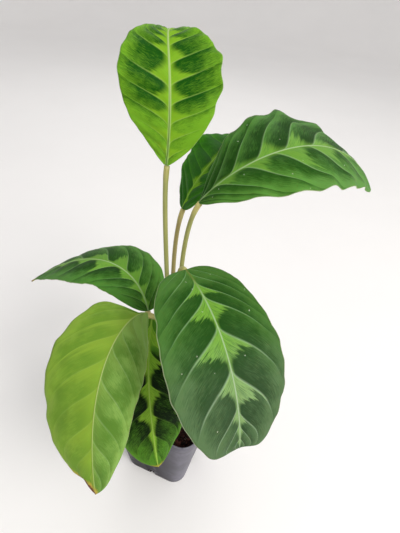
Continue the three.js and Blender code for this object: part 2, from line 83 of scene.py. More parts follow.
# Pairs are for the left and the right half of a blade, seen along its midrib from the base,
# and threes for its base, middle and tip. Half 0 is the left one.
#
# slot: finish in the part's record; tone: palettes of the two halves
# base: where the blade starts; half_width: greatest; widest: share of the length where it is
# shoulder, point: how full the outline is below and beyond its widest place
# lobe: how far the margin runs back beside the base; cusp: how much narrower the end is
# tail: how far the dried point runs on; ease: how much less the veins run on beside the tip
# heading, rise: of the midrib; roll: of the blade, at the base and at the tip
# fold: slope of each half at the midrib; fold_gain: added to it at the tip
# curl: how far each half turns from the midrib to its margin
# wave: heights at the margins, waves in the length, and where each half's waves start
# stray, crimp: how much the margin strays and ripples beside the other leaves
# bays: half, place, breadth and depth of each bulge of the margin, or bay where it is negative
# lip: how far each half's end runs on beside the tip
# lean: how far the midrib bows to the right; foot: half, and where its foot starts and ends
# tear: half, place and depth of a piece that has dried and come off
# stalk: place on the crown as an angle, lift off the soil and reach below the joint
# tan: how tan the joint is, and the rest of the stalk; hook: how far the stalk bows there
# tuck: how far the blade's foot runs back over its stalk
# dry: share of the length where the tip has dried, and how much sooner it did on the right
# flecks: how plainly dried water marks show
# veins: where side veins leave the midrib, as shares of its length, and how far the pale
#        patch beyond each one reaches towards the margin
# sweep: how far a side vein of each half runs on towards the tip (root term, cube term)
# figure: the pattern
#   waist, edge, jag, spread: of the pale patches, the width between them, their softness and
#        raggedness, and how fast they narrow beyond their vein; bare: where they start
#   margin, tip, root: where the ground lightens to the margin, and how much it lightens to
#        the tip (from tip_start) and to the base (from root_end)
#   band, blotch: how light the ground is behind each vein, and how uneven
#   vein, rib, groove: how plain the side veins are, the midrib's width, and how dark its line
#   aged: how brown the midrib is at its base; grey_sheen: how much painted sheen greys the outer half
LEAVES = [
    dict(
        name="top", tone=("young", "young"), slot="leaf_young",
        base=(-12.5, 10, 324), length=103, half_width=(30, 31.5),
        widest=0.55, shoulder=1.1, point=1, lobe=0,
        heading=(90, 123, 101), rise=(73, 65, -27), roll=(6, -2),
        fold=(2, 5), fold_gain=7, curl=(-4, -5),
        wave=((1.4, 1.2), 3.15, (0.19, 0.36)), stray=1.7, crimp=1.8,
        stalk=(None, 95, 29), tan=(0.35, 0.15),
        veins=(
            (
                (0.0, 0.6), (0.105, 0.5), (0.22, 0.4), (0.325, 0.3), (0.44, 0.3), (0.615, 0.28),
                (0.69, 0.3), (0.745, 0.35), (0.8, 0.4), (0.87, 0.45),
            ),
            (
                (0.01, 0.6), (0.12, 0.5), (0.232, 0.36), (0.343, 0.28), (0.455, 0.34), (0.572, 0.3),
                (0.69, 0.38), (0.76, 0.35), (0.85, 0.45),
            ),
        ),
        sweep=((0.16, 0.04), (0.11, 0.03)),
        figure=dict(
            waist=0.075, edge=0.08, jag=0.9, spread=1.45, margin=(0.5, 1.2), tip=0.3, root=0.85,
            root_end=0.42, band=0.5, vein=0.4, rib=1.6, groove=0.8,
        ),
    ),
    dict(
        name="right", tone=("deep", "dark"), slot="leaf_dark",
        base=(12, 11.5, 303), length=155, half_width=(44, 35),
        widest=0.53, shoulder=1.15, point=1.5, lobe=0, tail=4,
        heading=(13, 43, 29), rise=(57, 4, -57), roll=(-13, -7),
        fold=(6, 2), fold_gain=-7, curl=(-7, -29),
        wave=((1.2, 1.4), 6.4, (0.71, 0.69)), crimp=1,
        bays=((0, 0.55, 0.04, 4.5), (0, 0.68, 0.07, -4)),
        stalk=(5, 51, 34), tan=(1, 0.2),
        flecks=0.7,
        veins=(
            (
                (0.05, 0.06), (0.16, 0.14), (0.289, 0.32), (0.42, 0.34), (0.55, 0.16), (0.72, 0.08),
                (0.87, 0.06),
            ),
            (
                (0.0, 0.14), (0.091, 0.28), (0.232, 0.34), (0.375, 0.56), (0.535, 0.46), (0.69, 0.14),
                (0.82, 0.08), (0.9, 0.1),
            ),
        ),
        sweep=((0.15, 0.13), (0.14, 0.15)),
        figure=dict(
            waist=0.04, edge=0.08, jag=1.6, spread=1.35, margin=(0.5, 1.15), tip=0.45, band=1.7,
            vein=0.4, grey_sheen=0.1,
        ),
    ),
    dict(
        name="back", tone=("back", "back"), slot="leaf_dark",
        base=(-7, 27, 285.5), length=104, half_width=(33.5, 34),
        widest=0.5, shoulder=1.85, point=1.7, lobe=0.5,
        heading=(68, 72, 114), rise=(62, 23, -30), roll=(20, -3),
        fold=(-2, 10), fold_gain=1, curl=(-9, -10),
        wave=((1.4, 1.2), 2.4, (0.55, 0)),
        stalk=(72, 40, 37), tan=(0.7, 0.6),
        veins=(
            (
                (0.05, 0.1), (0.15, 0.2), (0.26, 0.08), (0.38, 0.06), (0.55, 0.2), (0.68, 0.1),
                (0.8, 0.1), (0.9, 0.1),
            ),
            (
                (0.02, 0.1), (0.13, 0.22), (0.25, 0.1), (0.38, 0.06), (0.52, 0.16), (0.66, 0.1),
                (0.79, 0.1), (0.9, 0.1),
            ),
        ),
        sweep=((0.15, 0.12), (0.15, 0.12)),
        figure=dict(
            waist=0.05, edge=0.05, jag=1.2, spread=1.35, margin=(0.6, 1.3), tip=0.3, vein=0.2,
        ),
    ),
    dict(
        name="left", tone=("deep", "dark"), slot="leaf_dark",
        base=(-20, -2, 200), length=144, half_width=(30.5, 38.5),
        widest=0.51, shoulder=1.5, point=1, lobe=4, cusp=0.4,
        heading=(139, 184, 210), rise=(54, -12, -37), roll=(8, -20),
        fold=(7, 5), fold_gain=-6, curl=(-28, -20),
        wave=((1.4, 0.6), 1.5, (0.94, 0.74)), crimp=1.2,
        stalk=(155, 60, 6), tan=(0.6, 0.3),
        dry=(0.985, 0.0),
        veins=(
            (
                (0.0, 0.2), (0.085, 0.3), (0.175, 0.28), (0.32, 0.5), (0.5, 0.2), (0.66, 0.16),
                (0.8, 0.1), (0.91, 0.1),
            ),
            (
                (-0.02, 0.18), (0.06, 0.3), (0.14, 0.38), (0.25, 0.5), (0.39, 0.3), (0.57, 0.1),
                (0.7, 0.1), (0.83, 0.1),
            ),
        ),
        sweep=((0.15, 0.1), (0.15, 0.1)),
        figure=dict(
            waist=0.06, edge=0.035, jag=1.2, spread=1.35, margin=(0.45, 1.0), tip=0.45, root=0.35,
            tip_start=0.5, vein=0.25, grey_sheen=0.1,
        ),
    ),
    dict(
        name="front_right", tone=("velvet", "velvet"), slot="leaf_dark",
        base=(16.5, -15, 265), length=130, half_width=(35.5, 42.5),
        widest=0.51, shoulder=2.2, point=1.8, lobe=2, tail=-4, ease=0.25,
        heading=(-35, -44, -49), rise=(-6, -36, -82), roll=(1, 5),
        fold=(14, 17), fold_gain=-2, curl=(-18, -15),
        wave=((1, 1.1), 2, (0.1, 0.6)),
        lip=(6.5, 4.3),
        stalk=(319, 95, 18), tan=(0.3, 0.1),
        flecks=0.9,
        veins=(
            (
                (0.0, 0.1), (0.085, 0.36), (0.175, 0.36), (0.355, 0.34), (0.57, 0.46), (0.76, 0.14),
                (0.83, 0.06), (0.9, 0.05),
            ),
            (
                (-0.03, 0.1), (0.075, 0.34), (0.175, 0.4), (0.35, 0.48), (0.56, 0.22), (0.735, 0.12),
                (0.82, 0.06), (0.9, 0.05),
            ),
        ),
        sweep=((0.19, 0.15), (0.2, 0.1)),
        figure=dict(
            waist=0.03, edge=0.035, jag=1.6, spread=1.35, margin=(0.4, 1.1), tip=0.5, tip_start=0.7,
            aged=1, bare=0.13, root=0.8, root_end=0.17, vein=0.5, grey_sheen=0.32,
        ),
    ),
    dict(
        name="front_left", tone=("old_sheened", "old_backlit"), slot="leaf_old",
        base=(-12, -18, 215), length=150, half_width=(29.5, 41),
        widest=0.47, shoulder=1.55, point=1.75, lobe=0, tail=4,
        heading=(-99, -76, -43), rise=(42, -32, -75), roll=(19, -31),
        fold=(2, 2), fold_gain=-4, curl=(-54, -29),
        wave=((1.2, 1.2), 3, (0.4, 0.8)),
        bays=((1, 0.12, 0.05, 2.5),),
        lean=-3, foot=(1, 0.072, 0.115), tear=(1, 0.93, 0.45),
        stalk=(217, 70, 16), tan=(1, 0.1), hook=4.5,
        dry=(0.986, 0.06),
        veins=(
            (
                (0.03, 0.6), (0.13, 0.7), (0.24, 0.3), (0.338, 0.2), (0.486, 0.2), (0.62, 0.15),
                (0.74, 0.1), (0.86, 0.05),
            ),
            (
                (0.03, 0.3), (0.14, 0.7), (0.26, 0.8), (0.39, 0.5), (0.52, 0.3), (0.65, 0.4),
                (0.77, 0.3), (0.88, 0.3),
            ),
        ),
        sweep=((0.15, 0.12), (0.16, 0.12)),
        # root lightens the base of the left half as painted light, against the shade that falls there.
        figure=dict(
            waist=0.05, edge=0.25, jag=1.4, spread=1.35, margin=(0.6, 1.0), tip=0.05, root=(1.3, 0.1),
            vein=0.2, blotch=1.1, band=0.7, rib=0.65,
        ),
    ),
    dict(
        name="front_centre", tone=("shade", "shade"), slot="leaf_dark",
        base=(-8.5, -18.5, 197), length=115, half_width=(33, 32.5),
        widest=0.48, shoulder=2, point=1.65, lobe=1,
        heading=(-72, -53, -40), rise=(-45, -59, -67), roll=(-2, -2),
        fold=(5, 3), fold_gain=-13, curl=(-24, -26),
        wave=((1.2, 1.4), 5, (0.2, 0.65)),
        stalk=(275, 60, 9), tan=(0.2, 0.1), tuck=9.5,
        dry=(1.003, 0.0),
        veins=(
            ((0.0, 0.9), (0.142, 0.3), (0.348, 0.2), (0.56, 0.1), (0.72, 0.04), (0.86, 0.0)),
            ((0.0, 0.9), (0.17, 0.3), (0.33, 0.22), (0.498, 0.3), (0.68, 0.1), (0.82, 0.02)),
        ),
        sweep=((0.17, 0.12), (0.17, 0.12)),
        # The shade palette darkens this blade as painted shade from the leaves over it, and root lightens
        # its base as painted light.
        figure=dict(
            waist=0.045, edge=0.05, jag=1.3, spread=1.5, margin=(0.72, 1.1), tip=0.8, tip_start=0.62,
            root=1.5, root_end=0.22, band=0.35, vein=0.1,
        ),
    ),
]

# What a leaf and its figure have where their entries don't say.
PLAIN_LEAF = dict(
    bays=(), crimp=1, cusp=0, ease=0, flecks=0.0, foot=(None, 0, 1), hook=0, lean=0, lip=(0, 0),
    stray=1, tail=0, tear=(0, 1, 0), tuck=0,
)
PLAIN_FIGURE = dict(
    aged=0.0, band=1.0, groove=0.15, rib=1.0, root=0.0, root_end=0.36, tip_start=0.55, grey_sheen=0.0,
)
LEAVES = [PLAIN_LEAF | leaf | {"figure": PLAIN_FIGURE | leaf["figure"]} for leaf in LEAVES]

# Order of the colours in a palette.
PAINTS = ("ground", "patch", "edge", "vein", "rib")
# ground: between the veins; patch: along the midrib; edge: towards the margin
PALETTES = {
    "young": ("104a04", "80ae24", "6ea224", "96b858", "a8be7e"),
    "dark": ("1e4a08", "6c9c36", "568a36", "90b07c", "a8c08e"),
    "deep": ("183e08", "74a63a", "4c8030", "8eb078", "a8c08e"),
    "back": ("1c5602", "74a81c", "3e860c", "6aa438", "96b84c"),
    "velvet": ("204812", "76a83c", "46702e", "8cb07c", "a0ba8e"),
    # old_sheened and old_backlit paint light into the front-left blade's halves: a greyer painted sheen on
    # its left half and a brighter painted back-lit glow on its right half.
    "old_sheened": ("587f2e", "769640", "82a650", "9cb480", "b4c47c"),
    "old_backlit": ("688e2c", "8aaa38", "84a63a", "98b658", "b4c47c"),
    "shade": ("081c02", "90be3a", "548826", "86b048", "a0c058"),
}


# ---- Mesh helpers


def bend(values, u):
    """Value at u of the smooth curve through (base, middle, tip)."""
    base, middle, tip = values
    return base * (2 * u - 1) * (u - 1) - middle * 4 * u * (u - 1) + tip * u * (2 * u - 1)


def direction(heading, rise):
    """Unit vectors that point along headings and rises, in degrees."""
    h, r = np.radians(heading), np.radians(rise)
    return np.stack([np.cos(r) * np.cos(h), np.cos(r) * np.sin(h), np.sin(r)], -1)


def mix(a, b, t):
    return a + (b - a) * t


def smooth(low, high, x):
    """Smooth step from 0 at low to 1 at high."""
    t = np.clip((x - low) / (high - low), 0, 1)
    return t * t * (3 - 2 * t)


def loft_faces(rings, count):
    """Quads between closed rings of equal count, with an n-gon at each end."""
    i, j = np.meshgrid(np.arange(rings - 1), np.arange(count), indexing="ij")
    a = i * count + j
    b = i * count + (j + 1) % count
    faces = np.stack([a, b, b + count, a + count], -1).reshape(-1, 4).tolist()
    faces.append(list(range(count))[::-1])
    faces.append(list(range((rings - 1) * count, rings * count)))
    return faces


def make_piece(name, points, faces, materials, face_slots=None, attributes=None, smooth_shading=True):
    """Mesh piece from points in millimetres, with its point attributes."""
    mesh = bpy.data.meshes.new(name)
    mesh.from_pydata((np.asarray(points, float).reshape(-1, 3) * MM).tolist(), [], faces)
    for material in materials:
        mesh.materials.append(material)
    if face_slots is not None:
        mesh.polygons.foreach_set("material_index", np.asarray(face_slots, np.int32))
    for key, values in (attributes or {}).items():
        values = np.asarray(values, np.float32)
        kind, field = ("FLOAT", "value") if values.ndim == 1 else ("FLOAT_VECTOR", "vector")
        mesh.attributes.new(key, kind, "POINT").data.foreach_set(field, values.ravel())
    mesh.polygons.foreach_set("use_smooth", [smooth_shading] * len(mesh.polygons))
    mesh.validate()
    mesh.update()
    piece = bpy.data.objects.new(name, mesh)
    bpy.context.scene.collection.objects.link(piece)
    return piece


def add_shape(points, faces, shape, shape_faces):
    """Adds a closed shape to lists of points and faces."""
    faces += [[i + len(points) for i in face] for face in shape_faces]
    points += np.reshape(shape, (-1, 3)).tolist()


def settle(piece, node):
    """The piece rides on the part and stands for its node."""
    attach(piece, "root")
    if node:
        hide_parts(node)


def square_ring(half_width, corner, z, steps):
    """Ring of a square with rounded corners, counter-clockwise seen from above."""
    quarter, step = np.meshgrid(np.arange(4), np.arange(steps + 1), indexing="ij")
    angle = (quarter + step / steps) * math.pi / 2
    middle = (quarter + 0.5) * math.pi / 2
    reach = (half_width - corner) * math.sqrt(2)
    x = reach * np.cos(middle) + corner * np.cos(angle)
    y = reach * np.sin(middle) + corner * np.sin(angle)
    return np.stack([x, y, np.full_like(x, z)], -1).reshape(-1, 3)


# ---- Material helpers


class Value:
    """What a node gives out. Sums, differences and products of it make further nodes."""

    def __init__(self, skin, socket):
        self.skin, self.socket = skin, socket

    def __add__(self, other):
        return self.skin.math("ADD", self, other)

    def __radd__(self, other):
        return self.skin.math("ADD", other, self)

    def __sub__(self, other):
        return self.skin.math("SUBTRACT", self, other)

    def __rsub__(self, other):
        return self.skin.math("SUBTRACT", other, self)

    def __mul__(self, other):
        return self.skin.math("MULTIPLY", self, other)

    def __rmul__(self, other):
        return self.skin.math("MULTIPLY", other, self)


class Skin:
    """Short forms for drawing a material's node tree."""

    def __init__(self, name):
        self.material = bpy.data.materials.new(name)
        self.material.use_nodes = True
        self.tree = self.material.node_tree
        self.shader = self.tree.nodes["Principled BSDF"]

    def put(self, socket, value):
        value = value.socket if isinstance(value, Value) else value
        if isinstance(value, bpy.types.NodeSocket):
            self.tree.links.new(value, socket)
        else:
            socket.default_value = value

    def node(self, kind, settings=None, **inputs):
        made = self.tree.nodes.new("ShaderNode" + kind)
        for key, value in (settings or {}).items():
            setattr(made, key, value)
        for key, value in inputs.items():
            self.put(made.inputs[key.replace("_", " ")], value)
        return made

    def math(self, operation, a, b=0.0, clamp=False):
        made = self.node("Math", {"operation": operation, "use_clamp": clamp})
        self.put(made.inputs[0], a)
        self.put(made.inputs[1], b)
        return Value(self, made.outputs[0])

    def fade(self, value, low, high):
        """1 where value is at least high, 0 where it is at most low; low may be above high."""
        made = self.node("MapRange", {"interpolation_type": "SMOOTHSTEP"})
        for socket, number in zip(("Value", "From Min", "From Max"), (value, low, high)):
            self.put(made.inputs[socket], number)
        return Value(self, made.outputs["Result"])

    def mix(self, factor, a, b):
        made = self.node("Mix", {"data_type": "RGBA"})
        for index, value in ((0, factor), (6, a), (7, b)):
            self.put(made.inputs[index], value)
        return Value(self, made.outputs[2])

    def blend(self, factor, a, b):
        made = self.node("Mix", {"data_type": "FLOAT"})
        for index, value in ((0, factor), (2, a), (3, b)):
            self.put(made.inputs[index], value)
        return Value(self, made.outputs[0])

    def join(self, x=0.0, y=0.0, z=0.0):
        made = self.node("CombineXYZ")
        for index, value in enumerate((x, y, z)):
            self.put(made.inputs[index], value)
        return made.outputs[0]

    def read(self, name, vector=False):
        made = self.node("Attribute", {"attribute_name": name})
        return Value(self, made.outputs["Vector" if vector else "Fac"])

    def noise(self, vector, scale, detail=2.0, roughness=0.5):
        made = self.node("TexNoise", Vector=vector, Scale=scale, Detail=detail, Roughness=roughness)
        return Value(self, made.outputs["Fac"])

    def bump(self, height, distance, strength=1.0, under=None):
        made = self.node("Bump", Height=height, Distance=distance, Strength=strength)
        if under is not None:
            self.put(made.inputs["Normal"], under)
        return made.outputs[0]

    def surface(self, colour, roughness, normal=None, **fixed):
        self.put(self.shader.inputs["Base Color"], colour)
        self.put(self.shader.inputs["Roughness"], roughness)
        if normal is not None:
            self.put(self.shader.inputs["Normal"], normal)
        for key, value in fixed.items():
            self.shader.inputs[key.replace("_", " ")].default_value = value
        return self.material

    def object_place(self):
        return self.node("TexCoord").outputs["Object"]


# ---- Leaf blades


def outline(leaf, u):
    """Half width at u, as a share of the greatest."""
    widest = leaf["widest"]
    lower = (1 - np.clip(1 - u / widest, 0, 1) ** 2) ** (1 / leaf["shoulder"])
    upper = (1 - np.clip((u - widest) / (1 - widest), 0, 1) ** 2) ** (1 / leaf["point"])
    return np.where(u < widest, lower, upper)


def midrib(leaf, rows):
    """Stations along the midrib: share, place, forward, right and normal."""
    u = (1 - np.cos(np.pi * np.arange(rows + 1) / rows)) / 2
    halfway = (u[1:] + u[:-1]) / 2
    steps = direction(bend(leaf["heading"], halfway), bend(leaf["rise"], halfway))
    steps *= (leaf["length"] * np.diff(u))[:, None]
    place = np.array(leaf["base"], float) + np.vstack([np.zeros(3), np.cumsum(steps, 0)])
    heading = bend(leaf["heading"], u)
    forward = direction(heading, bend(leaf["rise"], u))
    level = direction(heading - 90, 0 * u)
    turn = -np.radians(mix(leaf["roll"][0], leaf["roll"][1], u))[:, None]
    right = level * np.cos(turn) + np.cross(forward, level) * np.sin(turn)
    normal = np.cross(right, forward)
    tuck = np.maximum(0, 1 - u / 0.45) ** 2 * leaf["tuck"]
    place = place + right * (leaf["lean"] * np.sin(math.pi * u))[:, None]
    place = place + forward * (leaf["tail"] * smooth(0.9, 1, u) - tuck)[:, None]
    place += normal * (0.25 * tuck)[:, None]
    return u, place, forward, right, normal


# Side veins counted before the first one listed, and after the last.
LEAD, TRAIL = 6, 3


def vein_phase(leaf, half, u, v):
    """Counts side veins: whole numbers lie on them, and fractions between them."""
    root, cube = np.multiply.outer(leaf["sweep"][half], 1 - leaf["ease"] * smooth(0.8, 1, u))
    starts = np.array([start for start, _ in leaf["veins"][half]])
    before = starts[0] - (starts[1] - starts[0]) * np.arange(LEAD, 0, -1)
    after = starts[-1] + (starts[-1] - starts[-2]) * np.arange(1, TRAIL + 1)
    knots = np.concatenate([before, starts, after])
    return np.interp(u - root * v**0.6 - cube * v**3, knots, np.arange(len(knots)))


def blade_piece(leaf, settings, materials):
    rows, side_columns = settings.rows, settings.columns
    u, place, forward, right, normal = midrib(leaf, rows)
    width = outline(leaf, u)
    spread = np.linspace(0, 1, side_columns + 1) ** 1.6
    across = np.concatenate([-spread[:0:-1], spread])
    upper, lower, phases, offsets = [], [], [], []
    heights, count, phase = leaf["wave"]
    seed = len(leaf["name"]) + leaf["length"]
    wander = [[noise.noise(Vector((12 * x, seed, 5 * k))) for x in u] for k in range(2)]
    crimp = [[noise.fractal(Vector((6.5 * x, seed, 31 + 5 * k)), 0.6, 2.3, 3) for x in u] for k in range(2)]
    wander = np.array(wander) * np.sqrt(width)
    crimp = np.array(crimp) * np.sqrt(width) * smooth(1, 0.85, u)
    tear_half, tear_start, tear_depth = leaf["tear"]
    foot_half, foot_start, foot_end = leaf["foot"]
    for share in across:
        half, side, v = (0, -1, -share) if share < 0 else (1, 1, share)
        fold = np.radians(leaf["fold"][half] + leaf["fold_gain"] * u * u)
        curl = math.radians(leaf["curl"][half])
        stray = settings.wander * leaf["stray"] * wander[half] * v * v
        reach = leaf["half_width"][half] * width * (1 + stray)
        for bay_half, middle, breadth, depth in leaf["bays"]:
            if bay_half == half:
                reach += depth * np.exp(-(((u - middle) / breadth) ** 2)) * v
        reach -= side * leaf["lean"] * np.sin(math.pi * u) * v
        reach *= 1 - leaf["cusp"] * smooth(0.86, 0.97, u)
        if half == foot_half:
            reach *= smooth(foot_start, foot_end, u)
        if half == tear_half:
            reach *= 1 - tear_depth * smooth(tear_start, tear_start + 0.02, u)
        reach += mix(*END_HALF_WIDTH, u)
        out = reach * (np.sin(fold + curl * v) - np.sin(fold)) / curl
        lift = reach * (np.cos(fold) - np.cos(fold + curl * v)) / curl
        ripple = heights[half] * v * v * np.sqrt(width) * np.sin(2 * math.pi * (count * u + phase[half]))
        ripple += settings.ripple / MM * leaf["crimp"] * crimp[half] * v**3
        back = leaf["lobe"] * v * v * (1 - u) ** 3 * width
        point = place + side * right * out[:, None] + normal * (lift + ripple)[:, None]
        lip = leaf["lip"][half] * v * np.sin(math.pi * np.clip((u - 0.86) / 0.14, 0, 1) ** 1.7)
        point += forward * (lip - back)[:, None]
        slope = fold + curl * v if v else 0 * u
        facing = normal * np.cos(slope)[:, None] - side * right * np.sin(slope)[:, None]

        veins = vein_phase(leaf, half, u, v)
        body = smooth(0.0, 0.12, v) * smooth(1.0, 0.8, v) * smooth(0, 0.08, u) * smooth(1.0, 0.94, u)
        pleat = settings.pleat / MM * np.sin(math.pi * (veins % 1)) * body
        rib = settings.rib_height / MM * np.exp(-((v * reach / mix(0.7, 0.35, u)) ** 2))
        point += facing * (pleat - 0.5 * settings.pleat / MM * body)[:, None]
        raised = point + facing * rib[:, None]
        depth = np.maximum(0, 1 - v * reach / RIB_HALF_WIDTH) ** 2
        thickness = mix(settings.thickness / MM, mix(*RIB_DEPTH, u), depth)
        upper.append(raised)
        lower.append(point - facing * thickness[:, None])
        phases.append(veins)
        offsets.append(side * v * reach)

    columns = len(across)
    rings = np.concatenate([np.stack(upper, 1), np.stack(lower[::-1], 1)], 1)
    faces = loft_faces(rows + 1, 2 * columns)
    ring_position = np.tile(np.arange(2 * columns), rows)
    slots = np.where((ring_position < columns) | (ring_position == 2 * columns - 1), 0, 1)
    slots = np.append(slots, [0, 0])

    def ringed(values):
        values = np.stack(values, 1)
        return np.concatenate([values, values[:, ::-1]], 1).ravel()

    along = np.repeat(u, 2 * columns)
    signed = np.tile(np.concatenate([across, across[::-1]]), rows + 1)
    attributes = {
        "along": along,
        "across": signed,
        "phase": ringed(phases),
        "flat": np.stack([along * leaf["length"], ringed(offsets), 0 * along], -1),
    }
    name = "leaf_" + leaf["name"]
    piece = make_piece(name, rings, faces, materials, slots, attributes)
    settle(piece, "blade_" + leaf["name"])


def patch_reach(skin, leaf, half, cell):
    """Reach of the pale patch in each cell between side veins."""
    table = skin.node("ValToRGB")
    ramp = table.color_ramp
    ramp.interpolation = "CONSTANT"
    veins = leaf["veins"][half]
    total = LEAD + len(veins) + TRAIL + 1
    ramp.elements.remove(ramp.elements[1])
    ramp.elements[0].color = (veins[0][1],) * 3 + (1,)
    for index, (_, reach) in enumerate(veins):
        ramp.elements.new((LEAD + index) / total).color = (reach,) * 3 + (1,)
    skin.put(table.inputs[0], (cell + 0.5) * (1 / total))
    return table.outputs[0]


def ground_lightness(skin, figure, right, u, v, t):
    """How light the ground is: more behind each side vein, by the margin and by both ends."""
    start, full = figure["margin"]
    behind_vein = skin.math("POWER", 1.0 - t, 2.5) * (0.55 * figure["band"]) - skin.fade(t, 0.6, 1.0) * 0.2
    to_margin = skin.fade(v, start, full) * 0.85
    to_tip = skin.fade(u, figure["tip_start"], 1.0) * figure["tip"]
    root_end, root = figure["root_end"], figure["root"]
    root = skin.blend(right, *root) if isinstance(root, tuple) else root
    to_root = skin.fade(u, root_end, 0.55 * root_end) * root
    return behind_vein + to_margin + (to_tip + to_root)


def with_midrib(skin, figure, tone, colour, u, flat):
    """The pale midrib, tan by its base, with a dark line along its middle."""
    offset = skin.math("ABSOLUTE", skin.node("SeparateXYZ", Vector=flat).outputs[1])
    rib_width = skin.blend(u, 0.8, 0.28) * figure["rib"]
    rib = skin.fade(offset, rib_width * 1.2, rib_width * 0.5)
    rib = rib * skin.blend(skin.fade(u, 0.05, 0.4), 0.45, 0.8)
    aged = skin.fade(u, 0.2, 0.05) * figure["aged"]
    colour = skin.mix(rib, colour, skin.mix(aged, tone["rib"], paint("7a7440")))
    groove = skin.fade(offset, rib_width * 0.42, 0.0) * skin.fade(u, 0.6, 0.25)
    return skin.mix(groove * figure["groove"], colour, tone["ground"])


def with_dry_tip(skin, leaf, colour, u, across, flat):
    """The dried tip: yellow where it starts, and brown beyond."""
    start, lean = leaf["dry"]
    burnt = u + across * lean
    burnt = burnt + (skin.noise(flat, 0.6, 4.0, 0.6) - 0.5) * 0.035
    colour = skin.mix(skin.fade(burnt, start - 0.03, start) * 0.9, colour, paint("b8a040"))
    return skin.mix(skin.fade(burnt, start - 0.004, start + 0.012), colour, paint("6b4230"))


def with_water_marks(skin, leaf, colour, flat):
    """Dried water marks and dust flecks."""
    flecks = skin.node("TexVoronoi", Vector=flat, Scale=0.16, Randomness=1.0)
    chance = skin.node("SeparateXYZ", Vector=flecks.outputs["Color"]).outputs[0]
    chosen = skin.math("GREATER_THAN", chance, 0.72)
    spot = skin.fade(flecks.outputs["Distance"], 0.11, 0.06) * chosen
    spot = spot * skin.fade(skin.noise(flat, 1.6, 2.0), 0.45, 0.6)
    return skin.mix(spot * leaf["flecks"], colour, paint("c8d0b8"))


def leaf_material(leaf, settings, seed):
    """Upper face: dark ground, pale feathered patches, side veins, midrib and margin."""
    figure = leaf["figure"]
    skin = Skin("leaf_" + leaf["name"])
    u, across, flat = skin.read("along"), skin.read("across"), skin.read("flat", vector=True)
    phase = skin.read("phase")
    v = skin.math("ABSOLUTE", across)
    right = skin.math("GREATER_THAN", across, 0.0)
    tone = {}
    for name, *codes in zip(PAINTS, *(PALETTES[half] for half in leaf["tone"])):
        left_paint, right_paint = (paint(code) for code in codes)
        tone[name] = left_paint if left_paint == right_paint else skin.mix(right, left_paint, right_paint)
    side = right * 31.0
    t = skin.math("FRACT", phase)
    cell = skin.math("FLOOR", phase)

    # Streaks run with the side veins, and feather the patches.
    streak_place = skin.join(phase, v * 0.13, side + seed)
    coarse = skin.noise(streak_place, 9.0, 2.0, 0.6)
    fine = skin.noise(streak_place, 34.0, 3.0, 0.6)
    mottle = skin.noise(flat, 0.11, 3.0, 0.55)

    reach = skin.blend(right, *(patch_reach(skin, leaf, half, cell) for half in (0, 1)))
    taper = skin.math("MAXIMUM", 1.0 - t * 1.3, 0.0)
    jag = (coarse - 0.5) * 1.4 + (fine - 0.5) * 0.8
    ragged = 1.0 + jag * figure["jag"]
    extent = reach * skin.math("POWER", taper, figure["spread"]) * ragged
    extent = extent + figure["waist"]
    beyond = v - extent
    patch = skin.fade(beyond, figure["edge"], -figure["edge"])
    if "bare" in figure:
        patch = patch * skin.blend(skin.fade(u, 0.4 * figure["bare"], figure["bare"]), 0.25, 1.0)

    # Ground: darkest beside the patches.
    lightness = ground_lightness(skin, figure, right, u, v, t)
    threads = fine - 0.5 + (skin.noise(streak_place, 80.0, 1.0) - 0.5)
    lightness = lightness + threads * 1.4
    lightness = lightness + (mottle - 0.45) * 0.9
    if "blotch" in figure:
        broad = skin.noise(flat, 0.045, 3.0, 0.55)
        lightness = lightness + (broad - 0.47) * (2.6 * figure["blotch"])
    lightness = skin.math("SUBTRACT", lightness, skin.fade(beyond, 0.25, 0.0) * 0.15, clamp=True)
    ground = skin.mix(lightness, tone["ground"], tone["edge"])
    feather = skin.fade(fine + threads, 0.4, 0.9) * 0.8
    pale = skin.mix(feather, tone["patch"], tone["edge"])
    colour = skin.mix(patch * skin.blend(mottle, 1.0, 0.8), ground, pale)

    # Side veins: thin pale lines that die out before the margin.
    from_vein = skin.math("MINIMUM", t, 1.0 - t)
    vein = skin.fade(from_vein, skin.blend(v, 0.07, 0.03), 0.0) * skin.fade(v, 1.0, 0.5)
    colour = skin.mix(vein * figure["vein"], colour, tone["vein"])

    # Midrib, margin and tip.
    colour = with_midrib(skin, figure, tone, colour, u, flat)
    rim = skin.fade(v, 0.984, 0.998)
    colour = skin.mix(rim * 0.5, colour, settings.rim[:])
    if "dry" in leaf:
        colour = with_dry_tip(skin, leaf, colour, u, across, flat)

    # Painted sheen: the outer half greyed, as light glancing off the blade would grey it.
    sheen_mask = skin.fade(u + mottle * 0.2, 0.45, 0.85) * figure["grey_sheen"]
    dull = skin.node("HueSaturation", Color=colour, Saturation=1.0 - sheen_mask, Value=0.97).outputs[0]
    colour = skin.mix(0.9, colour, dull)

    colour = with_water_marks(skin, leaf, colour, flat)

    roughness = 0.44 + mottle * 0.16
    normal = skin.bump(fine, 0.00025, 0.35)
    normal = skin.bump(skin.noise(flat, 2.2, 2.0), 0.0001, 0.25, normal)
    return skin.surface(
        colour, roughness, normal, Subsurface_Weight=0.1, Subsurface_Scale=0.001, Specular_IOR_Level=0.06
    )


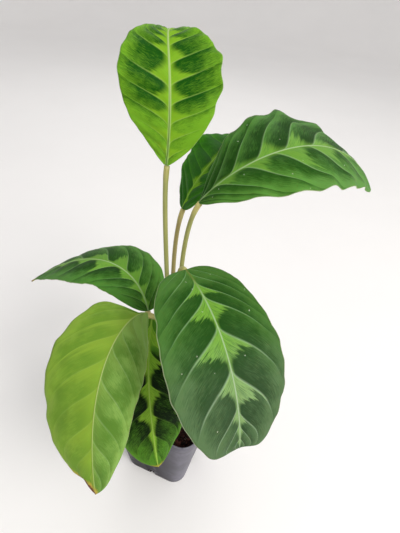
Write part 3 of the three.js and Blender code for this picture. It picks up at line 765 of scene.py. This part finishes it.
def underside_material(settings):
    """Lower face: pale, dull, with the side veins showing."""
    skin = Skin("leaf_underside")
    phase, flat = skin.read("phase"), skin.read("flat", vector=True)
    v = skin.math("ABSOLUTE", skin.read("across"))
    t = skin.math("FRACT", phase)
    from_vein = skin.math("MINIMUM", t, 1.0 - t)
    vein = skin.fade(from_vein, 0.05, 0.0) * skin.fade(v, 0.95, 0.3)
    fine = skin.noise(skin.join(phase, v * 0.35, 0.0), 34.0)
    colour = skin.mix(skin.noise(flat, 0.09, 3.0), settings.underside[:], paint("8aa079"))
    colour = skin.mix(vein * 0.6, colour, paint("b2bf98"))
    offset = skin.math("ABSOLUTE", skin.node("SeparateXYZ", Vector=flat).outputs[1])
    colour = skin.mix(skin.fade(offset, 1.9, 1.2), colour, paint("a8b07a"))
    normal = skin.bump(fine, 0.0003, 0.5)
    return skin.surface(colour, 0.6, normal, Subsurface_Weight=0.12, Subsurface_Scale=0.001)


# ---- Stalks


def foot_of(leaf):
    """Place of a stalk on the crown."""
    angle, radius = leaf["stalk"][0], CROWN_RADIUS
    if angle is None:
        angle, radius = 0, 0
    angle = math.radians(angle)
    return CROWN_X + radius * math.cos(angle), CROWN_Y + radius * math.sin(angle)


def stalk_line(leaf, steps):
    """Evenly spaced points along a stalk's centre line, and the distance run at each."""
    _, lift, reach = leaf["stalk"]
    x, y = foot_of(leaf)
    bottom = np.array([x, y, SOIL_LEVEL - HOLE_DEPTH + GAP])
    neck = np.array([x, y, SOIL_LEVEL + NECK])
    _, place, forward, _, normal = midrib(leaf | {"tuck": 0}, SOLID_ROWS)
    top = place[0] - normal[0] * RIB_DEPTH[0] / 2 - forward[0] * GAP
    handles = [neck, neck + [0, 0, lift], top - forward[0] * reach, top]
    t = np.linspace(0, 1, 200)[:, None]
    curve = sum(
        c * (1 - t) ** (3 - k) * t**k * handle for k, (c, handle) in enumerate(zip((1, 3, 3, 1), handles))
    )
    line = np.vstack([bottom, curve])
    run = np.concatenate([[0], np.cumsum(np.linalg.norm(np.diff(line, axis=0), axis=1))])
    even = np.linspace(0, run[-1], steps + 1)
    line = np.stack([np.interp(even, run, line[:, k]) for k in range(3)], -1)
    hook = leaf["hook"] * np.sin(math.pi * np.clip((even - run[-1]) / HOOK_RUN + 1, 0, 1)) ** 2
    line += direction(20, 0) * hook[:, None]
    return line, even, forward[0]


def tube(line, radius, sides, last=None):
    """Rings round a line, with a frame that doesn't twist."""
    tangent = np.gradient(line, axis=0)
    if last is not None:
        tangent[-1] = last
    tangent /= np.linalg.norm(tangent, axis=1)[:, None]
    start = np.cross(tangent[0], [1.0, 0.2, 0.1])
    start /= np.linalg.norm(start)
    angle = np.linspace(0, 2 * math.pi, sides, endpoint=False)
    rings = []
    for place, forward, r in zip(line, tangent, radius):
        start = start - forward * np.dot(start, forward)
        start /= np.linalg.norm(start)
        other = np.cross(forward, start)
        rings.append(place + np.outer(np.cos(angle) * r, start) + np.outer(np.sin(angle) * r, other))
    return np.array(rings)


def stalk_piece(leaf, settings, material):
    line, run, forward = stalk_line(leaf, settings.steps)
    length = run[-1]
    sheath = np.maximum(0, 1 - run / SHEATH_LENGTH)
    joint = smooth(length - JOINT_LENGTH, length - JOINT_LENGTH / 2, run)
    radius = SHAFT_RADIUS + sheath * (FOOT_RADIUS - SHAFT_RADIUS) + joint * (JOINT_RADIUS - SHAFT_RADIUS)
    rings = tube(line, radius, settings.sides, forward)
    angle = np.tile(np.linspace(0, 1, settings.sides, endpoint=False), settings.steps + 1)
    along = np.repeat(run, settings.sides)
    attributes = {
        "run": along,
        "joint": np.repeat(smooth(length - JOINT_LENGTH, length - 4, run) * leaf["tan"][0], settings.sides),
        "tan": [leaf["tan"][1]] * ((settings.steps + 1) * settings.sides),
        "round": np.stack([np.cos(2 * math.pi * angle), np.sin(2 * math.pi * angle), along * 0.02], -1),
    }
    faces = loft_faces(settings.steps + 1, settings.sides)
    piece = make_piece("petiole_" + leaf["name"], rings, faces, [material], attributes=attributes)
    settle(piece, "stalk_" + leaf["name"])


def stalk_material(settings):
    """Green-tan stalk, pinker by the soil, with a tan joint under the blade."""
    skin = Skin("stalk_skin")
    run, joint, around = skin.read("run"), skin.read("joint"), skin.read("round", vector=True)
    streak = skin.noise(around, 3.0, 3.0, 0.6)
    low = skin.fade(run, 90.0, 8.0) + skin.read("tan")
    colour = skin.mix(streak, settings.stalk[:], settings.stalk_light[:])
    colour = skin.mix(skin.math("MULTIPLY", low, 0.7, clamp=True), colour, settings.stalk_foot[:])
    colour = skin.mix(joint * 0.8, colour, settings.joint[:])
    normal = skin.bump(streak, 0.0003, 0.4)
    return skin.surface(colour, 0.45, normal, Subsurface_Weight=0.08, Subsurface_Scale=0.001)


# ---- Pot and soil


WALL, BAND_STEP, BAND_HEIGHT, FLOOR = 1.6, 0.9, 10.0, 2.4
CORNER_STEPS = 14
FOOT_CORNER, RIM_CORNER = 14.0, 15.0  # radii of the corners
DRAIN_RADIUS, DRAIN_PLACE, DRAIN_CUT = 3.5, 16, 8.0
SLOT_DEEP, SLOT_WIDE, SLOT_HIGH = 5, 4, 7.5  # half sizes of the slot at the foot of each side


def pot_ring(settings, z, offset, steps):
    """Ring of the pot's outer wall at height z, moved outwards by offset."""
    up = z * MM / settings.height
    half_width = mix(settings.base_width, settings.top_width, up) / 2 / MM
    corner = mix(FOOT_CORNER, RIM_CORNER, up)
    return square_ring(half_width + offset, corner + offset, z, steps)


def pot_profile(settings):
    """(height, offset) round the wall's section, from the floor's outside to its inside."""
    top, step, rim = settings.height / MM, BAND_STEP, WALL / 2
    band = top - BAND_HEIGHT
    foot = [(0, -step - 0.9), (0.15, -step - 0.4), (0.45, -step - 0.1), (0.9, -step)]
    under_band = [(band - step - 0.3, -step), (band - step + 0.1, -step + 0.15)]
    under_band += [(band - 0.1, -0.15), (band + 0.3, 0)]
    arc = [(top - rim + rim * math.sin(a), -rim + rim * math.cos(a)) for a in np.linspace(0, math.pi, 9)]
    inside = [(band, -WALL), (band - step, -step - WALL), (4.0, -step - WALL)]
    floor = [(FLOOR + 0.3, -step - WALL - 0.3), (FLOOR, -step - WALL - 1.3)]
    return foot + under_band + arc + inside + floor


def pot_piece(settings, material):
    rings = np.array([pot_ring(settings, z, offset, CORNER_STEPS) for z, offset in pot_profile(settings)])
    count = rings.shape[1]
    pot = make_piece("nursery_pot", rings, loft_faces(len(rings), count), [material])
    places = (-DRAIN_PLACE, DRAIN_PLACE)
    cutters = [drum((x, y, 0), DRAIN_RADIUS, DRAIN_CUT) for x in places for y in places]
    cutters += [slot_block(settings.base_width / 2 / MM, side) for side in range(4)]
    points, faces = [], []
    for cutter in cutters:
        add_shape(points, faces, *cutter)
    cutter = make_piece("drain_cutter", points, faces, [material])
    carve = pot.modifiers.new("drains", "BOOLEAN")
    carve.operation, carve.solver, carve.object = "DIFFERENCE", "EXACT", cutter
    bpy.context.view_layer.update()
    carved = bpy.data.meshes.new_from_object(pot.evaluated_get(bpy.context.evaluated_depsgraph_get()))
    pot.modifiers.clear()
    pot.data = carved
    bpy.data.objects.remove(cutter)
    if len(carved.polygons) < len(rings) * 4:
        raise RuntimeError("the pot lost its wall when its drains were cut")
    carved.polygons.foreach_set("use_smooth", [True] * len(carved.polygons))
    carved.set_sharp_from_angle(angle=math.radians(38))
    settle(pot, "pot")


def drum(centre, radius, height):
    """Closed cylinder for a drain hole."""
    angle = np.linspace(0, 2 * math.pi, 32, endpoint=False)
    circle = np.stack([radius * np.cos(angle), radius * np.sin(angle), 0 * angle], -1)
    rings = [circle + centre + np.array([0, 0, z]) for z in (-height / 2, height / 2)]
    return rings, loft_faces(2, len(angle))


def slot_block(reach, side):
    """Closed block for the drain slot at the foot of one side."""
    corners = ((-1, -1), (1, -1), (1, 1), (-1, 1))
    box = np.array([(x, y, z) for z in (-1, 1) for x, y in corners], float)
    box *= (SLOT_DEEP, SLOT_WIDE, SLOT_HIGH)
    box[:, 0] += reach
    turn = np.array(Matrix.Rotation(side * math.pi / 2, 3, "Z"))
    return box @ turn.T, loft_faces(2, 4)


def pot_material(settings):
    """Dark moulded plastic: fine grain, dust kept to the +X side as painted light, painted shade under the
    band, water marks by the foot and rim scuffs that also paint a highlight.
    """
    skin = Skin("pot_plastic")
    place = skin.object_place()
    across, _, height = skin.node("SeparateXYZ", Vector=place).outputs
    dust = skin.noise(place, 38.0, 5.0, 0.6)
    # Painted light: the dust film lies almost only on the +X side, lightening that side as if lit and
    # leaving the -X side dark as painted shade.
    lit_side_mask = skin.blend(skin.fade(across + dust * 0.012, 0.008, 0.05), 0.03, 1.0)
    marks = skin.fade(skin.noise(place, 95.0, 3.0), 0.52, 0.7) * skin.fade(height, 0.05, 0.0)
    dust_and_light_film = skin.blend(skin.fade(dust, 0.36, 0.72), 0.45, 0.85) * lit_side_mask
    colour = skin.mix(dust_and_light_film, settings.plastic[:], settings.dust[:])
    colour = skin.mix(marks * 0.35, colour, settings.dust[:])
    # Painted shade: darker plastic just under the band's step.
    under_band = skin.fade(height, 0.081, 0.085) * skin.fade(height, 0.0872, 0.0862)
    colour = skin.mix(under_band * 0.45, colour, paint("1c1b1f"))
    # Scuffs on the rim's edge, which also lighten it as a painted highlight.
    scuff_and_highlight = skin.fade(height, 0.0945, 0.0958) * skin.fade(skin.noise(place, 260.0, 3.0), 0.35, 0.6)
    colour = skin.mix(scuff_and_highlight * 0.5, colour, paint("8a8992"))
    by_foot = skin.fade(height, 0.012, 0.0)
    soiled = by_foot * skin.fade(skin.noise(place, 70.0, 4.0, 0.65), 0.5, 0.66)
    colour = skin.mix(soiled * 0.6, colour, paint("3a2a20"))
    roughness = 0.32 + dust * 0.24
    normal = skin.bump(skin.noise(place, 1400.0, 2.0), 0.00006, 0.5)
    return skin.surface(colour, roughness, normal, Specular_IOR_Level=0.08)


MOUND_RADIUS, SOIL_CLEARANCE, SOIL_RINGS, SOIL_CORNER_STEPS = 45, 0.15, 44, 26
SCATTER_LIMIT, SCATTER_SIDE, SCATTER_CORNER = 36.5, 26, 10
SLOT_CRUMBS, FIBRE_STEPS, FIBRE_SIDES = 44, 14, 6


def soil_height(x, y):
    """The soil's surface: a low mound with clods."""
    mound = np.maximum(0, 1 - np.hypot(x, y) / MOUND_RADIUS)
    clods = np.sin(0.31 * x + 1.3) * np.cos(0.37 * y - 0.4) + 0.6 * np.sin(0.23 * (x - y))
    return SOIL_LEVEL + SOIL_MOUND * mound + SOIL_LUMP * clods


def soil_piece(pot_settings, settings, material):
    inside = -BAND_STEP - WALL - SOIL_CLEARANCE
    heights = (FLOOR + 0.3, 43, SOIL_LEVEL - 2)
    walls = [pot_ring(pot_settings, z, inside, SOIL_CORNER_STEPS) for z in heights]
    rim = walls[-1]
    surface = []
    for share in np.linspace(0.995, 0.02, SOIL_RINGS):
        ring = rim * [share, share, 1]
        ring[:, 2] = soil_height(ring[:, 0], ring[:, 1])
        for point in ring:
            crumb = noise.fractal(Vector(point) * 0.35, 0.9, 2.0, 5)
            point[2] += settings.crumble / MM * crumb
        surface.append(ring)
    rings = np.array(walls + surface)
    piece = make_piece("potting_mix", rings, loft_faces(len(rings), rings.shape[1]), [material])
    settle(piece, "soil")


CHIP_POINTS = np.array(
    [(0, 0, 1), (0.894, 0, 0.447), (0.276, 0.851, 0.447), (-0.724, 0.526, 0.447), (-0.724, -0.526, 0.447)]
    + [(0.276, -0.851, 0.447), (0.724, 0.526, -0.447), (-0.276, 0.851, -0.447), (-0.894, 0, -0.447)]
    + [(-0.276, -0.851, -0.447), (0.724, -0.526, -0.447), (0, 0, -1)]
)
CHIP_FACES = (
    [(0, i, i % 5 + 1) for i in range(1, 6)]
    + [(i, i + 5, i % 5 + 1) for i in range(1, 6)]
    + [(i + 5, i % 5 + 6, i % 5 + 1) for i in range(1, 6)]
    + [(11, i % 5 + 6, i + 5) for i in range(1, 6)]
)


def crumb_pieces(settings, bark, perlite, fibre):
    """Bark chips, crumbs, perlite grains and fibres, in the soil's surface and the drain slots."""
    rng = np.random.default_rng(settings.seed)
    points, faces, tones, slots = [], [], [], []
    for index in range(settings.crumbs):
        x, y = rng.uniform(-SCATTER_LIMIT, SCATTER_LIMIT, 2)
        if np.hypot(max(abs(x) - SCATTER_SIDE, 0), max(abs(y) - SCATTER_SIDE, 0)) > SCATTER_CORNER:
            continue
        grain = index % 23 == 0
        size = rng.uniform(0.5, 1.0) if grain else rng.uniform(0.4, 1.9) ** 1.3
        shape = CHIP_POINTS * rng.uniform(0.72, 1.25, (12, 1)) * size
        shape = shape * ([1, 1, 0.9] if grain else [1.3, 0.8, 0.5])
        spin = Matrix.Rotation(rng.uniform(0, 2 * math.pi), 3, "Z")
        turn = spin @ Matrix.Rotation(rng.normal(0, 0.5), 3, "X")
        shape = shape @ np.array(turn).T + [x, y, soil_height(x, y) + 0.25 * size]
        add_shape(points, faces, shape, CHIP_FACES)
        tones += [rng.uniform()] * 12
        slots += [int(grain)] * len(CHIP_FACES)
    # Crumbs in the drain slots: soil showing through, kept dark, which also stands in for the shade inside
    # the slots as painted shade.
    for side in range(4):
        turn = np.array(Matrix.Rotation(side * math.pi / 2, 3, "Z"))
        for _ in range(SLOT_CRUMBS):
            place = np.array([rng.uniform(28.8, 31.6), rng.uniform(-3.4, 3.4), rng.uniform(0.9, 6.4)])
            shape = CHIP_POINTS * rng.uniform(0.72, 1.25, (12, 1)) * rng.uniform(0.4, 0.85) + place
            add_shape(points, faces, shape @ turn.T, CHIP_FACES)
            tones += [rng.uniform(0, 0.5)] * 12
            slots += [0] * len(CHIP_FACES)
    looks = [bark, perlite]
    crumbs = make_piece("soil_crumbs", points, faces, looks, slots, {"tone": tones}, smooth_shading=False)
    settle(crumbs, None)

    points, faces = [], []
    for _ in range(settings.fibres):
        x, y = rng.uniform(-30, 30, 2)
        heading, turn, length = rng.uniform(0, 2 * math.pi), rng.normal(0, 0.35), rng.uniform(5, 13)
        t = np.linspace(0, 1, FIBRE_STEPS)
        bearing = heading + turn * 8 * t
        line = np.cumsum(np.stack([np.cos(bearing), np.sin(bearing)], -1) * length / FIBRE_STEPS, 0) + [x, y]
        line = np.clip(line, -SCATTER_LIMIT, SCATTER_LIMIT)
        height = soil_height(line[:, 0], line[:, 1]) + 0.5 + 1.2 * np.sin(math.pi * t) * rng.uniform(0, 1)
        radius = np.full(FIBRE_STEPS, rng.uniform(0.14, 0.28))
        rings = tube(np.column_stack([line, height]), radius, FIBRE_SIDES)
        add_shape(points, faces, rings, loft_faces(FIBRE_STEPS, FIBRE_SIDES))
    fibres = make_piece("soil_fibres", points, faces, [fibre])
    settle(fibres, None)


def soil_material(settings):
    """Dark moist mix, with reddish bark in it."""
    skin = Skin("potting_mix")
    place = skin.object_place()
    grain = skin.noise(place, 520.0, 6.0, 0.7)
    clump = skin.noise(place, 110.0, 3.0, 0.6)
    colour = skin.mix(skin.fade(grain, 0.35, 0.75), settings.dark[:], settings.bark[:])
    colour = skin.mix(skin.fade(clump, 0.4, 0.7) * 0.6, colour, settings.dark[:])
    normal = skin.bump(grain, 0.0012, 0.9)
    return skin.surface(colour, 0.88, normal, Specular_IOR_Level=0.1)


def chip_material(settings):
    skin = Skin("bark_chip")
    grain = skin.noise(skin.object_place(), 700.0, 4.0, 0.6)
    tone = skin.fade(skin.read("tone"), 0.2, 1.0)
    colour = skin.mix(tone, settings.dark[:], settings.bark[:])
    colour = skin.mix(skin.fade(grain, 0.5, 0.8) * 0.4, colour, paint("6a4a38"))
    return skin.surface(colour, 0.85, skin.bump(grain, 0.0004, 0.8), Specular_IOR_Level=0.1)


def plain_grain(name, light, dark, roughness):
    """Small mineral or plant bits, with a little variation."""
    skin = Skin(name)
    speckle = skin.noise(skin.object_place(), 900.0, 3.0, 0.6)
    colour = skin.mix(speckle, paint(dark), paint(light))
    return skin.surface(colour, roughness, skin.bump(speckle, 0.0002, 0.6))


# ---- Stage

FOCAL_PIXELS, IMAGE_HEIGHT = 400.0, 533
CAMERA_PLACE, CAMERA_TURN, CAMERA_PITCH, CAMERA_ROLL = (99.0, -214.2, 430.0), 20.0, 36.8, 5.2
SWEEP_START, SWEEP_RADIUS = 3000, 1500


def camera_matrix(place, turn, pitch, roll):
    """Camera that looks along +Y turned left by turn, down by pitch, with a roll."""
    p, r = math.radians(pitch), math.radians(roll)
    ahead = Vector((0, math.cos(p), -math.sin(p)))
    level, upright = Vector((1, 0, 0)), Vector((0, math.sin(p), math.cos(p)))
    x_axis = level * math.cos(r) + upright * math.sin(r)
    y_axis = upright * math.cos(r) - level * math.sin(r)
    columns = Matrix((x_axis, y_axis, -ahead)).transposed()
    turned = Matrix.Rotation(math.radians(turn), 3, "Z") @ columns
    return Matrix.Translation(Vector(place) * MM) @ turned.to_4x4()


def add_lamp(name, energy, size, place, aim, colour):
    light = bpy.data.lights.new(name, "AREA")
    light.energy, light.size, light.color = energy, size, colour
    lamp = bpy.data.objects.new(name, light)
    lamp.location = place
    lamp.rotation_euler = (Vector(aim) - Vector(place)).to_track_quat("-Z", "Y").to_euler()
    bpy.context.scene.collection.objects.link(lamp)


def floor_material(settings):
    skin = Skin("floor_paint")
    place = skin.object_place()
    cloud = skin.noise(place, 3.0, 4.0, 0.55)
    colour = skin.mix(cloud, settings.floor[:], paint("efedec"))
    return skin.surface(colour, 0.6, skin.bump(skin.noise(place, 160.0, 2.0), 0.0002, 0.2))


def sweep_piece(material):
    """Round studio sweep: a floor that curves up into a wall, open at the top."""
    angle = np.linspace(0, 2 * math.pi, 96, endpoint=False)
    start, radius = SWEEP_START, SWEEP_RADIUS
    turns = np.linspace(0, math.pi / 2, 16)
    curve = [(start + radius * math.sin(a), radius - radius * math.cos(a)) for a in turns]
    profile = [(400, 0), (1200, 0), (2200, 0)] + curve + [(start + radius, 2 * radius)]
    rings = [np.stack([r * np.cos(angle), r * np.sin(angle), 0 * angle + z], -1) for r, z in profile]
    faces = loft_faces(len(rings), len(angle))[:-1]
    return make_piece("floor", np.array(rings), faces, [material])


# ---- Settings


def number(name, description, default, **kind):
    return bpy.props.FloatProperty(name=name, description=description, default=default, min=0, **kind)


def size(name, description, default):
    return number(name, description, default * MM, precision=5, subtype="DISTANCE", unit="LENGTH")


def share(name, description, default):
    return number(name, description, default, max=1, subtype="FACTOR")


def power(name, description, default):
    return number(name, description, default, subtype="POWER")


def whole(name, description, default, low=3):
    return bpy.props.IntProperty(name=name, description=description, default=default, min=low)


def colour(name, description, code):
    return bpy.props.FloatVectorProperty(
        name=name, description=description, default=paint(code), size=4, min=0, max=1, subtype="COLOR"
    )


POT_LOW, POT_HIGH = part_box("pot")


class BladeSettings(bpy.types.PropertyGroup):
    rows: whole("Rows", "Divisions of a blade along its midrib", 120)
    columns: whole("Columns", "Divisions of each half of a blade", 30)
    thickness: size("Thickness", "Thickness of a blade beside its midrib", 0.42)
    pleat: size("Pleat", "Height of the swell between side veins", 1.0)
    wander: share("Wander", "How far the margin strays from its outline, as a share of the width", 0.045)
    ripple: size("Ripple", "Height of the small ripples at the margin", 1.6)
    rib_height: size("Midrib height", "How far the midrib stands up", 0.35)
    underside: colour("Underside", "Colour of the lower face", "7d9470")
    rim: colour("Rim", "Colour of the thin rim", "c2cca0")


class StalkSettings(bpy.types.PropertyGroup):
    sides: whole("Sides", "Facets round a stalk", 20)
    steps: whole("Steps", "Divisions along a stalk", 90)
    stalk: colour("Stalk", "Darker colour of the stalk's streaks", "74803a")
    stalk_light: colour("Stalk, light", "Lighter colour of the stalk's streaks", "a3a860")
    stalk_foot: colour("Foot", "Colour by the soil", "a8805c")
    joint: colour("Joint", "Colour of the swollen joint under the blade", "c8bc74")


class PotSettings(bpy.types.PropertyGroup):
    height: size("Height", "Height of the pot", (POT_HIGH.z - POT_LOW.z) / MM)
    top_width: size("Rim width", "Width over the rim", 90.0)
    base_width: size("Foot width", "Width of the foot", 66.0)
    plastic: colour("Plastic", "Colour of the clean plastic", "1f1e24")
    # The dust colour also lays the painted light on the pot's +X side.
    dust: colour("Dust", "Colour of dust and dried water marks", "9492a0")


class SoilSettings(bpy.types.PropertyGroup):
    crumble: size("Crumble", "Height of the surface's crumbs", 0.8)
    crumbs: whole("Crumbs", "Number of bark chips and grains", 1500)
    fibres: whole("Fibres", "Number of loose fibres", 26)
    seed: whole("Seed", "Seed of the scatter", 11, 0)
    dark: colour("Mix", "Darkest colour of the mix", "080303")
    bark: colour("Bark", "Colour of the bark in it", "381c18")


class StageSettings(bpy.types.PropertyGroup):
    floor: colour("Floor", "Colour of the floor", "f6f4f3")
    sky: share("Room light", "Brightness of the room's light", 0.7)
    key: power("Key", "Power of the large soft lamp", 26.0)
    fill: power("Fill", "Power of the lamp behind", 4.0)


# ---- Operators


class CALATHEA_OT_blades(bpy.types.Operator):
    """Makes the seven leaf blades, with their veins and patches."""

    bl_idname = "calathea.blades"
    bl_label = "Leaf blades"

    def execute(self, context):
        settings = context.scene.calathea_blades
        underside = underside_material(settings)
        for seed, leaf in enumerate(LEAVES, 1):
            blade_piece(leaf, settings, [leaf_material(leaf, settings, seed), underside])
        return {"FINISHED"}


class CALATHEA_OT_stalks(bpy.types.Operator):
    """Makes the stalks, from the soil to the joint under each blade."""

    bl_idname = "calathea.stalks"
    bl_label = "Stalks"

    def execute(self, context):
        settings = context.scene.calathea_stalks
        material = stalk_material(settings)
        for leaf in LEAVES:
            stalk_piece(leaf, settings, material)
        return {"FINISHED"}


class CALATHEA_OT_pot(bpy.types.Operator):
    """Makes the nursery pot, with its band, rim and drains."""

    bl_idname = "calathea.pot"
    bl_label = "Pot"

    def execute(self, context):
        settings = context.scene.calathea_pot
        pot_piece(settings, pot_material(settings))
        return {"FINISHED"}


class CALATHEA_OT_soil(bpy.types.Operator):
    """Makes the potting mix and what lies on it."""

    bl_idname = "calathea.soil"
    bl_label = "Soil"

    def execute(self, context):
        settings = context.scene.calathea_soil
        soil_piece(context.scene.calathea_pot, settings, soil_material(settings))
        perlite = plain_grain("perlite", "e4e0d4", "b9b2a2", 0.8)
        fibre = plain_grain("fibre", "b4877a", "7c4f48", 0.7)
        crumb_pieces(settings, chip_material(settings), perlite, fibre)
        return {"FINISHED"}


class CALATHEA_OT_stage(bpy.types.Operator):
    """Sets the floor, the soft light and the camera."""

    bl_idname = "calathea.stage"
    bl_label = "Stage"

    def execute(self, context):
        scene = context.scene
        settings = scene.calathea_stage
        sweep_piece(floor_material(settings))

        world = bpy.data.worlds.new("room")
        world.use_nodes = True
        background = world.node_tree.nodes["Background"]
        background.inputs["Color"].default_value = (1.0, 1.0, 1.0, 1.0)
        background.inputs["Strength"].default_value = settings.sky
        scene.world = world
        scene.view_settings.view_transform = "Standard"

        add_lamp("key", settings.key, 0.9, (1.25, -0.5, 1.5), (0, 0, 0.2), (1.0, 0.98, 0.95))
        add_lamp("fill", settings.fill, 1.0, (-0.6, 1.3, 1.3), (0, 0, 0.25), (1.0, 1.0, 1.0))

        data = bpy.data.cameras.new("camera")
        data.lens = FOCAL_PIXELS / IMAGE_HEIGHT * data.sensor_width
        data.clip_start, data.clip_end = 0.01, 50.0
        camera = bpy.data.objects.new("camera", data)
        camera.matrix_world = camera_matrix(CAMERA_PLACE, CAMERA_TURN, CAMERA_PITCH, CAMERA_ROLL)
        scene.collection.objects.link(camera)
        scene.camera = camera
        return {"FINISHED"}


class CALATHEA_PT_build(bpy.types.Panel):
    """Lists the steps of the build."""

    bl_idname = "CALATHEA_PT_build"
    bl_label = "Potted Calathea"
    bl_space_type = "VIEW_3D"
    bl_region_type = "UI"
    bl_category = "Calathea"

    def draw(self, context):
        for operator in OPERATORS:
            self.layout.operator(operator.bl_idname)


SETTINGS = {
    "calathea_blades": BladeSettings,
    "calathea_stalks": StalkSettings,
    "calathea_pot": PotSettings,
    "calathea_soil": SoilSettings,
    "calathea_stage": StageSettings,
}
OPERATORS = (
    CALATHEA_OT_pot,
    CALATHEA_OT_soil,
    CALATHEA_OT_stalks,
    CALATHEA_OT_blades,
    CALATHEA_OT_stage,
)


def register():
    for name, group in SETTINGS.items():
        bpy.utils.register_class(group)
        setattr(bpy.types.Scene, name, bpy.props.PointerProperty(type=group))
    for cls in (*OPERATORS, CALATHEA_PT_build):
        bpy.utils.register_class(cls)


def unregister():
    for cls in (CALATHEA_PT_build, *OPERATORS):
        bpy.utils.unregister_class(cls)
    for name, group in SETTINGS.items():
        delattr(bpy.types.Scene, name)
        bpy.utils.unregister_class(group)


def main():
    register()
    bpy.ops.calathea.pot()
    bpy.ops.calathea.soil()
    bpy.ops.calathea.stalks()
    bpy.ops.calathea.blades()
    bpy.ops.calathea.stage()


if __name__ == "__main__":
    main()
